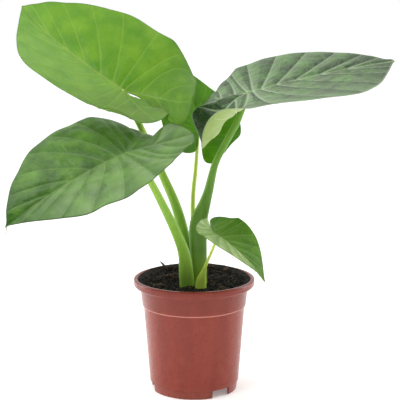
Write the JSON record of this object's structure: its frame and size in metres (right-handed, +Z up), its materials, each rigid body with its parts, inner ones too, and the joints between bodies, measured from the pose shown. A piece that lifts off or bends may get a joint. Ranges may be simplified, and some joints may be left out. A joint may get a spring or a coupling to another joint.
{
  "type": "potted alocasia",
  "caption": "Leafy houseplant with large heart-shaped leaves on thick sheathed stalks, growing from dark soil in a tapered nursery pot with a rolled rim and drain notches.",
  "frame": {"origin": "under the middle of the whole plant's spread, on the surface that the pot stands on; the pot's axis is 15 mm to -X and 4 mm to +Y of it", "axes": "+Z up, -Y towards the side where the two tall leaves open left and right and the small leaf hangs at the right, +X to that view's right"},
  "size_m": [0.5458, 0.3762, 0.5384],
  "materials": {
    "pot_plastic": "satin",
    "potting_soil": "matte",
    "bark": "matte",
    "stalk_upper_left": "satin",
    "blade_upper_left": "satin",
    "stalk_lower_left": "satin",
    "blade_lower_left": "satin",
    "stalk_right": "satin",
    "blade_right": "satin",
    "stalk_back": "satin",
    "blade_back": "satin",
    "stalk_small": "satin",
    "blade_small": "satin"
  },
  "bodies": {
    "root": {"pot": "pot_plastic", "soil": "potting_soil", "stalk_upper_left": "stalk_upper_left", "blade_upper_left": "blade_upper_left", "stalk_lower_left": "stalk_lower_left", "blade_lower_left": "blade_lower_left", "stalk_right": "stalk_right", "blade_right": "blade_right", "stalk_back": "stalk_back", "blade_back": "blade_back", "stalk_small": "stalk_small", "blade_small": "blade_small", "bark_chip_1": "bark", "bark_chip_2": "bark", "bark_chip_3": "bark", "bark_chip_4": "bark", "bark_chip_5": "bark", "bark_chip_6": "bark"}
  },
  "joints": []
}
